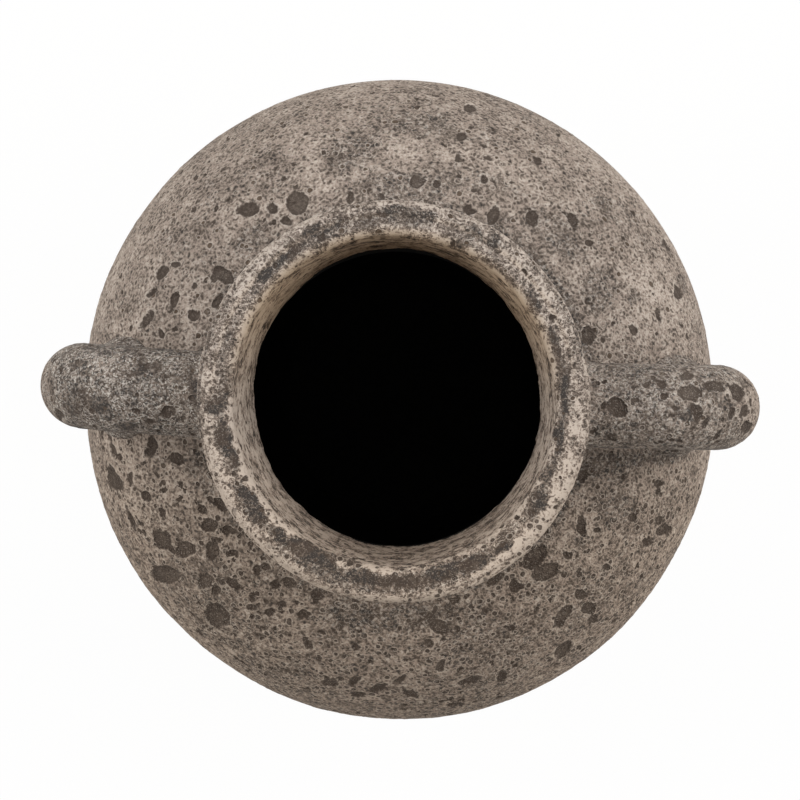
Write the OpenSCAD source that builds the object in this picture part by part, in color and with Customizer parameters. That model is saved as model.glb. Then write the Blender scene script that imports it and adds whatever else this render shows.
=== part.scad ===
// Two-handled terracotta vase, luted together from clay sections.
// It stands on z = 0 with its axis on Z and its handles along X. Lengths are in millimetres.

/* [Body] */
// Outside diameter at the belly
body_d = 260; // [230:1:300]
// Height of the belly line, where the lower and upper sections meet
belly_z = 150; // [130:1:165]
// Height at which the curve of the shoulder would reach the neck
shoulder_z = 230; // [220:1:240]
// Thickness of the wall
wall = 10; // [8:0.5:12]

/* [Foot] */
// Diameter at the top of the base slab, where the wall stands on it
foot_d = 140; // [120:1:160]
// Diameter of the outer edge on the ground, before its chamfer
ground_d = 132; // [112:1:138]
// Thickness of the base slab
base_t = 12; // [9:0.5:16]
// Diameter of the hollow under the foot
recess_d = 96; // [60:1:104]
// Depth of the hollow under the foot
recess_depth = 3; // [1:0.5:5]
// Chamfer round the outer edge of the foot
foot_chamfer = 2; // [0.5:0.25:3]

/* [Neck] */
// Height to the top of the rim
vase_h = 300; // [290:1:320]
// Outside diameter of the neck
neck_d = 131; // [126:1:138]
// Inside diameter at the throat, the lower edge of the neck
throat_d = 113; // [105:1:116]
// Inside diameter at the lip
mouth_d = 118; // [110:1:121]
// Radius of the cove between the shoulder and the neck
cove_r = 12; // [8:0.5:16]
// Depth by which the cove is pressed into the shoulder
cove_bite = 0.4; // [0.2:0.1:1]

/* [Rim] */
// Outside diameter of the rim
rim_d = 144.6; // [140:0.1:152]
// Height of the rim
rim_h = 14; // [11:0.5:18]
// Radius of the two rolled beads that form the crest
bead_r = 4.2; // [3.6:0.1:5]
// How far each bead stands out from the band under it
bead_proud = 0.8; // [0.3:0.1:1.4]
// Height of the slope under the overhang
rim_slope_h = 4; // [1:0.5:5]

/* [Handles] */
// Diameter of the round coil
handle_d = 32; // [24:0.5:36]
// How far each handle stands out past the belly
handle_proud = 6; // [2:0.5:12]
// Gap between the rim and the spread end of the coil
handle_drop = 2; // [0.5:0.5:6]
// Radius of the elbow on the centre line
bend_r = 27; // [22:0.5:32]
// Radius of the curve in which the leg comes down to the shoulder
leg_r = 50; // [40:1:70]
// How far each end is spread where it is pressed on
root_flare = 4; // [1:0.5:6]
// Length over which each end spreads
root_len = 10; // [5:0.5:14]

/* [Seams] */
// Radius of the half-round tongue on the seams
tongue_r = 2; // [1:0.25:2.5]
// Room for slip round a tongue
slip_gap = 0.3; // [0.1:0.05:0.5]
// Thickness of the coat inside
lining_t = 1.2; // [0.6:0.1:2]

/* [Hidden] */
$fn = 128;
over = 1;
clay_colour = [0.56, 0.50, 0.43];
rim_colour = [0.62, 0.55, 0.47];
lining_colour = [0.04, 0.04, 0.04];

body_r = body_d / 2;
foot_r = foot_d / 2;
ground_r = ground_d / 2;
recess_r = recess_d / 2;
neck_r = neck_d / 2;
throat_r = throat_d / 2;
mouth_r = mouth_d / 2;
rim_r = rim_d / 2;
handle_r = handle_d / 2;
handle_reach = body_r + handle_proud;

// Radius of an arc that is upright at the belly line and comes in by dr over a height dz
function belly_arc(dr, dz) = (dr ^ 2 + dz ^ 2) / (2 * dr);
lower_r = belly_arc(body_r - foot_r, belly_z - base_t);
lower_c = [body_r - lower_r, belly_z];
upper_r = belly_arc(body_r - neck_r, shoulder_z - belly_z);
upper_c = [body_r - upper_r, belly_z];

// The cove runs up from the shoulder and is upright at the neck seat
cove_c_r = neck_r + cove_r;
neck_seat_z = belly_z + sqrt((upper_r + cove_r - cove_bite) ^ 2 - (cove_c_r - upper_c.x) ^ 2);
cove_c = [cove_c_r, neck_seat_z];
toe = upper_c + (cove_c - upper_c) * upper_r / norm(cove_c - upper_c);
rim_z = vase_h - rim_h;
bead_z = vase_h - bead_r;

// The inside of the neck is one cone from the throat edge to the underside of the rim
throat_z = belly_z + sqrt((upper_r - wall) ^ 2 - (throat_r - upper_c.x) ^ 2);
function bore_r(z) = throat_r + (mouth_r - throat_r) * (z - throat_z) / (rim_z - throat_z);

// Middle of the wall at each seam, where its tongue stands
foot_inner_r = lower_c.x + sqrt((lower_r - wall) ^ 2 - (belly_z - base_t) ^ 2);
base_seam = [(foot_r + foot_inner_r) / 2, base_t];
belly_seam = [body_r - wall / 2, belly_z];
neck_seam = [(neck_r + bore_r(neck_seat_z)) / 2, neck_seat_z];
rim_seam = [(neck_r + mouth_r) / 2, rim_z];

// The arm leaves the neck level, the elbow turns it upright and the leg curves in to the shoulder
spread_d = handle_d + 2 * root_flare;
root_d = handle_d - 2 * root_flare;
handle_z = rim_z - handle_drop - spread_d / 2;
elbow_c = [handle_reach - handle_r - bend_r, handle_z - bend_r];
leg_c = [handle_reach - handle_r - leg_r, elbow_c.y];

// Angle below level at which the centre line of the leg meets the shoulder
to_leg = leg_c - upper_c;
leg_apart = norm(to_leg);
land_a = acos((upper_r ^ 2 - leg_apart ^ 2 - leg_r ^ 2) / (2 * leg_r * leg_apart))
    - atan2(to_leg.y, to_leg.x);
run_in_a = wall / 2 / leg_r * 180 / PI;

module disc_at(centre, r) {
    translate(centre) circle(r);
}

// Everything from the axis outwards between two heights
module band(z0, z1) {
    translate([0, z0]) square([handle_reach + body_r, z1 - z0]);
}

// Opening of the neck, as a filled outline
module bore_outline(z0, z1) {
    polygon([[0, z0], [bore_r(z0), z0], [bore_r(z1), z1], [0, z1]]);
}

// Outline of the lower section, filled to the axis and brought in by inset
module lower_outline(inset) {
    intersection() {
        disc_at(lower_c, lower_r - inset);
        band(base_t, belly_z);
    }
}

// Outline of the shoulder and its upstand, filled to the axis
module shoulder_outline() {
    difference() {
        union() {
            intersection() {
                disc_at(upper_c, upper_r);
                band(belly_z, neck_seat_z);
            }
            translate([0, belly_z]) square([toe.x, neck_seat_z - belly_z]);
        }
        disc_at(cove_c, cove_r);
    }
}

module neck_outline() {
    translate([0, neck_seat_z]) square([neck_r, rim_z - neck_seat_z]);
}

// Space inside the walls, brought in by inset all round
module cavity_outline(inset) {
    intersection() {
        lower_outline(wall + inset);
        band(base_t + inset, belly_z);
    }
    intersection() {
        disc_at(upper_c, upper_r - wall - inset);
        band(belly_z, neck_seat_z);
    }
}

module base_slab() {
    color(clay_colour) rotate_extrude() union() {
        polygon([[0, recess_depth], [recess_r - recess_depth, recess_depth], [recess_r, 0],
                 [ground_r - foot_chamfer, 0], [ground_r, foot_chamfer], [foot_r, base_t], [0, base_t]]);
        disc_at(base_seam, tongue_r);
    }
}

module lower_body() {
    color(clay_colour) rotate_extrude() difference() {
        union() {
            difference() {
                lower_outline(0);
                disc_at(lower_c, lower_r - wall);
            }
            disc_at(belly_seam, tongue_r);
        }
        disc_at(base_seam, tongue_r + slip_gap);
    }
}

module upper_body() {
    color(clay_colour) rotate_extrude() difference() {
        union() {
            difference() {
                shoulder_outline();
                disc_at(upper_c, upper_r - wall);
                bore_outline(belly_z - over, neck_seat_z + over);
            }
            disc_at(neck_seam, tongue_r);
        }
        disc_at(belly_seam, tongue_r + slip_gap);
    }
}

module neck() {
    color(clay_colour) rotate_extrude() difference() {
        union() {
            difference() {
                neck_outline();
                bore_outline(neck_seat_z - over, rim_z + over);
            }
            disc_at(rim_seam, tongue_r);
        }
        disc_at(neck_seam, tongue_r + slip_gap);
    }
}

// Two beads rolled side by side on a band, with a groove between them along the crest
module rim() {
    color(rim_colour) rotate_extrude() difference() {
        union() {
            polygon([[mouth_r, rim_z], [neck_r, rim_z], [rim_r - bead_proud, rim_z + rim_slope_h],
                     [rim_r - bead_proud, bead_z], [mouth_r + bead_proud, bead_z]]);
            disc_at([mouth_r + bead_r, bead_z], bead_r);
            disc_at([rim_r - bead_r, bead_z], bead_r);
        }
        disc_at(rim_seam, tongue_r + slip_gap);
    }
}

// Spread end of the coil, pressed on at z = 0 and run on below it into the wall
module root() {
    cylinder(h = 2 * root_len, d1 = spread_d, d2 = root_d);
    translate([0, 0, -wall]) cylinder(h = wall, d = spread_d);
}

// Stretch of the coil that bends in the plane of the handle, from one angle above level to another
module bend(centre, r, from_a, to_a) {
    translate([centre.x, 0, centre.y]) rotate([90, 0, 0])
        rotate_extrude(angle = to_a - from_a, start = from_a) translate([r, 0]) circle(d = handle_d);
}

// Round coil along +X, run on at both ends into the walls
module coil() {
    translate([neck_r, 0, handle_z]) rotate([0, 90, 0]) {
        translate([0, 0, -wall]) cylinder(h = elbow_c.x - neck_r + wall, d = handle_d);
        root();
    }
    bend(elbow_c, bend_r, 0, 90);
    bend(leg_c, leg_r, -land_a - run_in_a, 0);
    translate([leg_c.x, 0, leg_c.y]) rotate([0, land_a, 0]) translate([leg_r, 0, 0]) root();
}

// A coil with its ends cut to the outside of the neck and the shoulder
module handle() {
    color(clay_colour) difference() {
        coil();
        rotate_extrude() shoulder_outline();
        rotate_extrude() neck_outline();
    }
}

module left_handle() {
    rotate([0, 0, 180]) handle();
}

module right_handle() {
    handle();
}

module inner_lining() {
    color(lining_colour) rotate_extrude() difference() {
        cavity_outline(0);
        cavity_outline(lining_t);
        bore_outline(belly_z, neck_seat_z + over);
    }
}

base_slab();
lower_body();
upper_body();
neck();
rim();
left_handle();
right_handle();
inner_lining();
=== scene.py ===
"""Looks of the two-handled terracotta vase.

Each clay piece is a dense skin worked out from the frame's own sizes: an outline turned about the
axis, or a coil swept along a handle. Unevenness, pits and the groove of the rim move the skin itself.
How far each point lies from the nearest pit and how sooty it is, counting painted shade and light
as soot, go along with the skin, and the material paints by them. Lengths are in millimetres until a
mesh is made.
"""
import itertools
import math
from functools import cached_property

import bpy
import numpy as np
from mathutils import Matrix, Vector


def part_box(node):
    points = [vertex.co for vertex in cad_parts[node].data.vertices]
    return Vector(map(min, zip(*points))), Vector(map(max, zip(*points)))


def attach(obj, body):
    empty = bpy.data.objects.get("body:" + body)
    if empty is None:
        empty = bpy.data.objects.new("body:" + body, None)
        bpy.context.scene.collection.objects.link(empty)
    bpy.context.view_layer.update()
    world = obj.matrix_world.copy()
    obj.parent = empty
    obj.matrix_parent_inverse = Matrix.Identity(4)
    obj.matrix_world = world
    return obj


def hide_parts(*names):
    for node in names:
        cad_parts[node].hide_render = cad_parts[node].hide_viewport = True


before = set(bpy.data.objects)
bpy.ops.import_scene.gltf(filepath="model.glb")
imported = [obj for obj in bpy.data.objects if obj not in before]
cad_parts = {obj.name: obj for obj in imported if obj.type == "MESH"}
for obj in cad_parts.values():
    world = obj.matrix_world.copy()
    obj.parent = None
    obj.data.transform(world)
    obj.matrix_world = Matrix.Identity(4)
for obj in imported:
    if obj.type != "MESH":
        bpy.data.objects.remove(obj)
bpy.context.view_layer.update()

MM = 0.001


def node_box(node):
    """Lowest and highest corner of a node, in millimetres."""
    low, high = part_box(node)
    return np.array(low) / MM, np.array(high) / MM


# Sizes that the frame gives
FOOT_R = node_box("base_slab")[1][0]
BASE_T = node_box("lower_body")[0][2]
BODY_R = node_box("lower_body")[1][0]
BELLY_Z = node_box("upper_body")[0][2]
NECK_R = node_box("neck")[1][0]
SEAT_Z = node_box("neck")[0][2]
RIM_Z = node_box("rim")[0][2]
RIM_R = node_box("rim")[1][0]
VASE_H = node_box("rim")[1][2]
HANDLE_REACH = node_box("right_handle")[1][0]
HANDLE_TOP = node_box("right_handle")[1][2]

# Sizes within those outlines, as the solids have them
GROUND_R = 66.0
FOOT_CHAMFER = 2.0
RECESS_R = 48.0
RECESS_DEPTH = 3.0
SHOULDER_Z = 230.0
WALL = 10.0
LINING_T = 1.2
THROAT_R = 56.5
MOUTH_R = 59.0
COVE_R = 12.0
BEAD_R = 4.2
BEAD_PROUD = 0.8
RIM_SLOPE_H = 4.0
COIL_R = 16.0
BEND_R = 27.0
LEG_R = 50.0
ROOT_FLARE = 4.0
ROOT_LEN = 10.0

# How much further out each hand-rolled handle comes than planned, by its side
HANDLE_STRETCH = {-1: 0.0, 1: 2.6}

# How far each handle lies off the middle plane towards +Y, at the neck and at its tip, by its side
HANDLE_OFF = {-1: (0.5, 2.9), 1: (0.9, 1.3)}

# Where the belly bulges or is flat: direction and half width in degrees, and how far out it comes
BULGES = [(162, 20, 1.0), (-14, 10, 0.6), (-60, 18, -0.8), (-118, 14, -0.7)]
BULGE_HEIGHT = 60.0

# How far the hand-made jar is out of round, as a share of its radius, and the way it is widest
BODY_OVAL = 0.011
RIM_OVAL = 0.0125
THROAT_OVAL = 0.027
OVAL_AXIS = math.radians(103)

# How far the throat and the rim lie off the axis, towards +Y
THROAT_OFF = 1.1
RIM_OFF = 0.5

# Spacing of the outline's points, and of the rows and columns of the skins
FINE = 0.25
CORNER_ROUND = 0.8
COLUMNS = 720
LINING_COLUMNS = 240
LOWER_ROW = 1.35
SHOULDER_ROW = 1.18
NECK_ROW = 0.75
RIM_ROW = 0.5
HIDDEN_ROW = 8.0
COIL_COLUMNS = 200
COIL_ROW = 0.6
SHARP_ANGLE = math.radians(60)

# The photograph's camera
PHOTO_PX = 800
FOCAL_PX = 2935.0
SENSOR_MM = 36.0
CAMERA_SPOT = np.array([17.4, 8.2, 1359.0])
CAMERA_AIM = np.array([0.3, 0.2, 159.0])
CAMERA_ROLL = math.radians(1.6)

# Marks read off the photograph, in pixels: across, down, half length, half width, and how many
# degrees the length leans up from level, if it does
PITS_SEEN = {
    "shoulder, upper left": [
        (298, 204, 11, 10), (248, 210, 12, 6, 10), (273, 209, 6, 5, 90), (286, 221, 5, 5),
        (221, 274, 11, 7, -15), (227, 281, 7, 4, -25), (219, 301, 9, 4, 62), (195, 314, 6, 5),
        (163, 272, 7, 5, 70), (174, 300, 9, 5, 62), (146, 319, 11, 4, 52), (152, 290, 6, 3, 62),
        (176, 265, 4, 4), (160, 334, 4, 4), (350, 198, 6, 4, 90),
    ],
    "shoulder, lower left": [
        (114, 477, 15, 5, -69), (152, 444, 10, 5, -85), (176, 460, 7, 6, -30), (113, 450, 7, 3, -75),
        (131, 481, 6, 3, -85), (147, 495, 5, 5), (131, 519, 9, 3, -58), (162, 513, 6, 3, -75),
        (163, 541, 12, 7, -62), (220, 506, 9, 4, -48), (226, 530, 6, 5), (212, 551, 9, 7, 90),
        (205, 581, 7, 7), (234, 582, 10, 5, -35), (256, 572, 5, 4, 90), (266, 567, 5, 4, -45),
        (275, 585, 5, 4), (251, 608, 5, 4, -30), (166, 574, 14, 9, -15), (218, 616, 14, 9, -40),
        (203, 509, 5, 5), (209, 526, 8, 7), (186, 550, 11, 8), (233, 554, 5, 4), (217, 589, 5, 4),
        (281, 603, 5, 4), (289, 583, 7, 4, -40), (270, 612, 5, 4),
    ],
    "shoulder, bottom": [
        (317, 595, 7, 5, -35), (304, 615, 6, 5), (308, 645, 5, 4, -60), (355, 607, 4, 4), (356, 646, 5, 4),
        (354, 681, 5, 5), (331, 682, 8, 4), (399, 681, 8, 3, 35), (411, 693, 10, 3, -30),
        (379, 689, 8, 3, 25), (358, 695, 7, 3), (457, 704, 8, 2, 5),
    ],
    "shoulder, lower right": [
        (535, 557, 14, 8, 45), (546, 571, 13, 8, 25), (514, 585, 7, 5, 80), (494, 580, 9, 4, 40),
        (439, 626, 11, 7, -30), (430, 643, 6, 4, -30), (440, 666, 6, 5, 90), (469, 681, 12, 4, 15),
        (454, 598, 7, 4, 30), (564, 616, 13, 6, 62), (588, 609, 6, 5), (592, 620, 7, 4, 30),
        (562, 650, 10, 5, 45), (502, 676, 6, 4), (581, 593, 6, 5, 90), (582, 528, 9, 5, -70),
        (567, 555, 5, 4), (606, 568, 4, 4), (634, 519, 5, 4, 35), (664, 531, 8, 6), (648, 543, 5, 4),
        (659, 520, 4, 4), (659, 485, 5, 5), (583, 474, 6, 5, 60),
    ],
    "shoulder, upper right": [
        (470, 109, 6, 4, -5), (461, 137, 5, 4), (458, 158, 4, 4), (485, 179, 5, 4, 90), (539, 161, 5, 4),
        (418, 181, 7, 6), (437, 185, 4, 4), (493, 217, 9, 6, 70), (533, 218, 9, 6, 85),
        (572, 218, 7, 5, -55), (469, 210, 8, 4, -25), (589, 244, 4, 4), (589, 335, 8, 6, 90),
        (633, 331, 6, 4, -70), (659, 315, 8, 2, -88), (677, 292, 8, 4, -75), (666, 246, 7, 3, -60),
    ],
    "right handle": [
        (618, 408, 11, 9, -35), (689, 391, 10, 8), (715, 387, 12, 5, -20), (737, 391, 10, 5, -65),
        (696, 412, 9, 4, -70), (743, 412, 7, 4, 80), (733, 413, 6, 3, 80), (707, 420, 6, 3, 75),
        (746, 428, 6, 4, 65), (661, 385, 5, 4), (687, 375, 6, 4),
    ],
    "left handle": [(169, 412, 6, 5), (59, 413, 7, 3, -55)],
}
SMUDGES_AND_SHADOWS_SEEN = {
    "shoulder": [
        (243, 643, 7, 5), (352, 152, 30, 18, 30), (420, 125, 30, 12), (412, 193, 10, 6), (394, 176, 8, 5),
        (604, 204, 12, 7, -40), (600, 290, 24, 18, 90), (635, 298, 9, 7), (682, 285, 9, 3, -65),
        (528, 118, 10, 3, -22), (505, 221, 7, 6), (205, 475, 30, 16, -60), (475, 640, 42, 18, 10),
        # (602, 470) is soot with painted shadow under the right handle
        (432, 608, 10, 6, 10), (415, 647, 12, 4, 5), (602, 470, 26, 14, -20), (612, 505, 24, 18),
        (580, 544, 8, 5, -80), (250, 240, 22, 14, 40), (405, 186, 55, 14), (558, 236, 36, 14, -45),
    ],
    "shoulder, faint": [(470, 178, 52, 14, -15), (265, 166, 34, 20, 35)],
    # Painted shadows: dark marks under the handles and below the near side of the rim, where their shadows
    # fall
    "painted shadows": [
        (640, 458, 48, 7, 2), (596, 466, 16, 10, -25), (165, 435, 32, 4, -3), (395, 613, 70, 17),
    ],
    "rim, far left": [
        (312, 229, 10, 6, 25), (297, 249, 12, 5, 30), (282, 262, 12, 5, 45), (264, 274, 10, 6, 40),
    ],
    "rim, far side": [
        (475, 232, 10, 6, -35), (494, 242, 7, 6, -40), (419, 217, 18, 8, -5), (391, 215, 15, 8),
        (363, 219, 13, 8, 10), (341, 225, 9, 6, 20),
    ],
    "rim, near side": [
        (218, 405, 12, 7, 35), (224, 438, 16, 9, -75), (233, 457, 12, 6, -65), (246, 496, 14, 6, -55),
        (259, 514, 12, 7, -50), (281, 535, 14, 6, -46), (306, 548, 16, 9, -40), (326, 561, 14, 8, -30),
        (362, 577, 17, 8, -5), (398, 581, 24, 7, 3), (443, 573, 17, 9, 12), (475, 563, 17, 8, 17),
        (504, 549, 8, 4, 25), (537, 504, 15, 9, 60), (549, 476, 15, 5, 68), (558, 440, 18, 4, 80),
        (563, 395, 26, 4, 90), (556, 350, 20, 4, -75), (533, 302, 13, 5, -58),
    ],
    "handles": [
        (157, 370, 8, 7), (102, 404, 9, 7), (82, 365, 8, 5), (142, 369, 7, 6), (125, 424, 10, 5),
        # (193, 388) is a painted shadow in the crease between the left handle and the rim
        (88, 398, 7, 6), (685, 415, 9, 8), (193, 388, 24, 3, 90),
    ],
}
MARK_ROOM = 8.0
RAY_STEPS = 6

# Places between which the finish changes, along Y from the far to the near side, or in height
PITS_NEAR = (40.0, -70.0)
PAINTED_SHADE_NEAR = (-20.0, -100.0)
PAINT_NEAR = (40.0, -80.0)
THROAT_FAR = (-10.0, 40.0)
PITS_BELOW = (BELLY_Z + 10, BELLY_Z - 15)
CREST_Z = (RIM_Z + 4, RIM_Z + 8)

# Pits scattered over the clay: size of the cells they lie in and salt, and the share of cells that
# hold one, on the far and the near side for small ones and below the belly for large ones
SMALL_PITS = (3.4, 20)
SMALL_PIT_SHARE = (0.13, 0.34)
LARGE_PITS = (7.0, 30)
LARGE_PIT_SHARE = 0.2
RIM_WITHOUT_PITS = 0.7

# Their smallest and largest radius and the room round them, in cells, and how softly the share ends
PIT_R = (0.2, 0.5)
PIT_ROOM = 0.08
PIT_SOFT = 0.03
LEAST_SHARE = 0.01

# Form of a pit: depth, where its wall begins and ends, and the height, place and width of its lip
PIT_DEPTH = 0.65
PIT_WALL = (0.3, -0.8)
LIP_HEIGHT = 0.14
LIP_PLACE = 0.6
LIP_WIDTH = 0.45

# Unevenness of the skin, of the throat, and of the edges of pits, smudges and painted shadows: size, reach
# and salt
WAVES = (55.0, 0.55, 60)
LUMPS = (16.0, 0.2, 62)
THROAT_LUMPS = (6.0, 0.7, 66)
PIT_WAVES = (6.0, 1.0, 11)
PIT_RIPPLES = (2.4, 0.55, 15)
SMUDGE_AND_SHADOW_WAVES = (4.5, 1.6, 48)

# Charcoal on the skin: how much lies everywhere, size, strength and salt of its patches, how much painted
# shade is added on the near side, how much more lies in the groove, how much paler the throat is painted
# as painted light, and the least and most there is
SOOT = 0.28
SOOT_CLOUDS = (42.0, 0.32, 40)
SOOT_PATCHES = (12.0, 0.34, 44)
NEAR_PAINTED_SHADE = 0.2
GROOVE_SOOT = 0.5
THROAT_PAINTED_LIGHT = -0.201
SOOT_RANGE = (-0.4, 1.5)

# Charcoal on the handles by side, its share at the root and where it is full, how far from the tip it
# starts to fade, and how much of it shows pale worm tracks
HANDLE_SOOT = {-1: 0.7, 1: 0.44}
ROOT_SOOT = 0.5
HANDLE_ROOT = (4.0, 26.0)
HANDLE_TIP = 18.0
HANDLE_WORMS = {-1: 1.0, 1: 0.55}

# How thick the smudges of soot and the painted shadows of each region are, and where their edges begin and
# end
SMUDGE_SOOT_AND_SHADE = {
    "shoulder": 0.68, "shoulder, faint": 0.5, "painted shadows": 0.95, "rim, far left": 1.4,
    "rim, far side": 1.0, "rim, near side": 1.4, "handles": 1.15,
}
SMUDGE_AND_SHADOW_EDGE = (1.35, 0.65)

# Painted shade in the cove under the rim: strength, and how many cove radii off the neck it ends, then where
# it is full
COVE_SHADE = [(0.25, 1.6), (0.35, 1.2)]
COVE_SHADE_FULL = 0.8

# Charcoal band round the rim, whose circle lies off the rim's own, its patches, and blotches over it
BAND_R = 63.3
BAND_WIDTH = 3.4
BAND_SHIFT = 1.1
BAND_STRETCH = 2.0
BAND_SOOT = 0.6
BAND_COVER = 0.6
BAND_PATCHES = (14.0, 1.6, 52)
BAND_EDGE = (1.2, 0.5)
BLOTCHES = (5.0, 0.5, 56)

# How the rim changes from side to side: strength, axis, and where it starts and is full. The band fades,
# the clay outside it is worn pale and painted paler still on the near side as painted light, and the
# clay inside it is painted paler at the left and right as painted light
X_AXIS = 0
Y_AXIS = 1
BAND_FADES = [(0.36, Y_AXIS, -30, 40), (0.18, X_AXIS, 20, 60)]
RIM_WORN_AND_LIT = [(0.16, X_AXIS, -40, 20), (0.66, Y_AXIS, 0, -60)]
LEFT_WORN = [(0.3, X_AXIS, -5, -40)]
LEFT_WORN_FAR = (15, 45)
INNER_LIP_LIGHT = 0.8
INNER_LIGHT_LESS = [(0.4, Y_AXIS, 0, -40)]
INNER_LIGHT_BESIDE = (10, 45)
OUTSIDE_BAND = (0.9, 1.6)
INSIDE_BAND = (-0.5, -1.1)

# Groove outside the band, and the size, salt and edges of its breaks
GROOVE_R = 70.6
GROOVE_WIDTH = 0.55
GROOVE_DEPTH = 0.4
GROOVE_BREAKS = (34.0, 70)
GROOVE_BROKEN = (-0.1, 0.35)

# Numbers that the noise is worked out with
HASH_AXES = (0x8DA6B343, 0xD8163841, 0xCB1AB31F)
HASH_SALT = 0x9E3779B1
HASH_ROUNDS = [(15, 0x2C1B3C6D), (12, 0x297A2D39), (15, 1)]
WORD = 2.0 ** 32

# Colours as the eye sees them, from 0 to 255
BEIGE = (166, 151, 139)
CREAM = (197, 184, 172)
ASH = (108, 97, 88)
CHARCOAL = (59, 54, 51)
UMBER = (71, 61, 54)
RUST = (88, 73, 60)
FLECK = (208, 201, 193)
# Painted shade: warm tints for the far wall of the throat and for the near side of the jar
THROAT_SHADE_TINT = (255, 241, 219)
NEAR_SHADE_TINT = (255, 249, 241)
# Near-black of the coat inside, which also stands for the deep shade in the jar: painted shade
BLACK = (14, 14, 13)
BRUSHED_BLACK = (26, 25, 23)

# Studio: lamps with their place and size in metres, then how bright each is on white
LAMPS = [
    ("key", (0.1, 1.45, 1.95), 1.3, 0.27),
    ("left", (-1.6, 0.2, 1.6), 1.4, 0.51),
    ("right", (1.6, 0.3, 1.6), 1.4, 0.55),
]
FILL_LEVEL = 0.23
FLOOR_R = 4.0
FLOOR_SIDES = 96
FLOOR_COLOUR = (0.92, 0.87, 0.8, 1)
FLOOR_ROUGHNESS = 0.9
FLOOR_GLOW = 0.97
WHITE = (1, 1, 1, 1)


def belly_arc(come_in, height):
    """Radius of an arc that is upright at the belly line and comes in by that much over a height."""
    return (come_in ** 2 + height ** 2) / (2 * come_in)


LOWER_R = belly_arc(BODY_R - FOOT_R, BELLY_Z - BASE_T)
LOWER_C = (BODY_R - LOWER_R, BELLY_Z)
UPPER_R = belly_arc(BODY_R - NECK_R, SHOULDER_Z - BELLY_Z)
UPPER_C = (BODY_R - UPPER_R, BELLY_Z)
COVE_C = (NECK_R + COVE_R, SEAT_Z)
BEAD_Z = VASE_H - BEAD_R
THROAT_Z = BELLY_Z + math.sqrt((UPPER_R - WALL) ** 2 - (THROAT_R - UPPER_C[0]) ** 2)
HANDLE_Z = HANDLE_TOP - COIL_R - ROOT_FLARE
ELBOW_C = (HANDLE_REACH - COIL_R - BEND_R, HANDLE_Z - BEND_R)
LEG_C = (HANDLE_REACH - COIL_R - LEG_R, ELBOW_C[1])


# Repeatable noise

def lattice_random(cell, salt):
    """Random numbers from 0 to 1 that depend only on whole-number cells and a salt."""
    x, y, z = np.moveaxis(cell.astype(np.int64).astype(np.uint32), -1, 0)
    code = np.uint32(salt * HASH_SALT % WORD)
    for axis, factor in zip((x, y, z), HASH_AXES):
        code = code ^ axis * np.uint32(factor)
    for shift, factor in HASH_ROUNDS:
        code = (code ^ code >> np.uint32(shift)) * np.uint32(factor)
    return code / WORD


def value_noise(points, size, salt):
    """Smooth noise from -1 to 1 with blobs about size across."""
    scaled = points / size
    cell = np.floor(scaled)
    along = scaled - cell
    along = along * along * (3 - 2 * along)
    total = np.zeros(len(points))
    for corner in itertools.product((0, 1), repeat=3):
        weight = np.where(corner, along, 1 - along).prod(axis=1)
        total += weight * lattice_random(cell + corner, salt)
    return 2 * total - 1


def rough_noise(points, size, salt, octaves=3):
    """Noise with finer noise on it, from about -1 to 1."""
    layers = [value_noise(points, size / 2 ** k, salt + k) / 2 ** (k + 1) for k in range(octaves)]
    return sum(layers)


def wobbled(points, size, reach, salt):
    """The points moved about by up to reach, so that marks get uneven edges."""
    moves = [value_noise(points, size, salt + k) for k in range(3)]
    return points + reach * np.stack(moves, axis=1)


def smooth_step(value, start, end):
    """0 at start and beyond, 1 at end and beyond."""
    share = np.clip((value - start) / (end - start), 0, 1)
    return share * share * (3 - 2 * share)


def foam(points, size, salt):
    """Distances from the middle and the wall of the foam cell round each point, and its random number."""
    cell = np.floor(points / size)
    first, second = np.full((2, len(points)), np.inf)
    home, beside = np.zeros((2,) + points.shape)
    number = np.zeros(len(points))
    for step in itertools.product((-1, 0, 1), repeat=3):
        here = cell + step
        centre = (np.stack([lattice_random(here, salt + k) for k in range(3)], axis=1) + here) * size
        gap = ((points - centre) ** 2).sum(axis=1)
        nearest = gap < first
        next_one = ~nearest & (gap < second)
        second[nearest], beside[nearest] = first[nearest], home[nearest]
        second[next_one], beside[next_one] = gap[next_one], centre[next_one]
        first[nearest], home[nearest] = gap[nearest], centre[nearest]
        number[nearest] = lattice_random(here[nearest], salt + 3)
    from_wall = (second - first) / (2 * np.linalg.norm(beside - home, axis=1))
    return np.sqrt(first), from_wall, number


def foam_pits(points, share, size, salt):
    """Distance from the edge of the nearest of many roundish pits, negative inside one."""
    from_middle, from_wall, number = foam(points, size, salt)
    small, large = PIT_R
    radius = size * (large - (large - small) * np.clip(number / np.maximum(share, LEAST_SHARE), 0, 1))
    closed = size * smooth_step(number, share - PIT_SOFT, share + PIT_SOFT)
    return np.maximum(from_middle - radius, PIT_ROOM * size - from_wall) + closed


# The photograph's view

def camera_axes():
    """Right, up and forward of the camera."""
    forward = (CAMERA_AIM - CAMERA_SPOT) / np.linalg.norm(CAMERA_AIM - CAMERA_SPOT)
    right = np.cross(forward, (-math.sin(CAMERA_ROLL), math.cos(CAMERA_ROLL), 0))
    right /= np.linalg.norm(right)
    return right, np.cross(right, forward), forward


def top_height(x, y):
    """Height of the topmost clay over a point of the plan."""
    radius = math.hypot(x, y)
    if radius < RIM_R:
        return VASE_H
    if abs(y) < COIL_R and abs(x) < HANDLE_REACH:
        half = math.sqrt(COIL_R ** 2 - y ** 2)
        past = max(0.0, abs(x) - ELBOW_C[0])
        return ELBOW_C[1] + math.sqrt(max(0.0, (BEND_R + half) ** 2 - past ** 2))
    return BELLY_Z + math.sqrt(max(0.0, UPPER_R ** 2 - (radius - UPPER_C[0]) ** 2))


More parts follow.
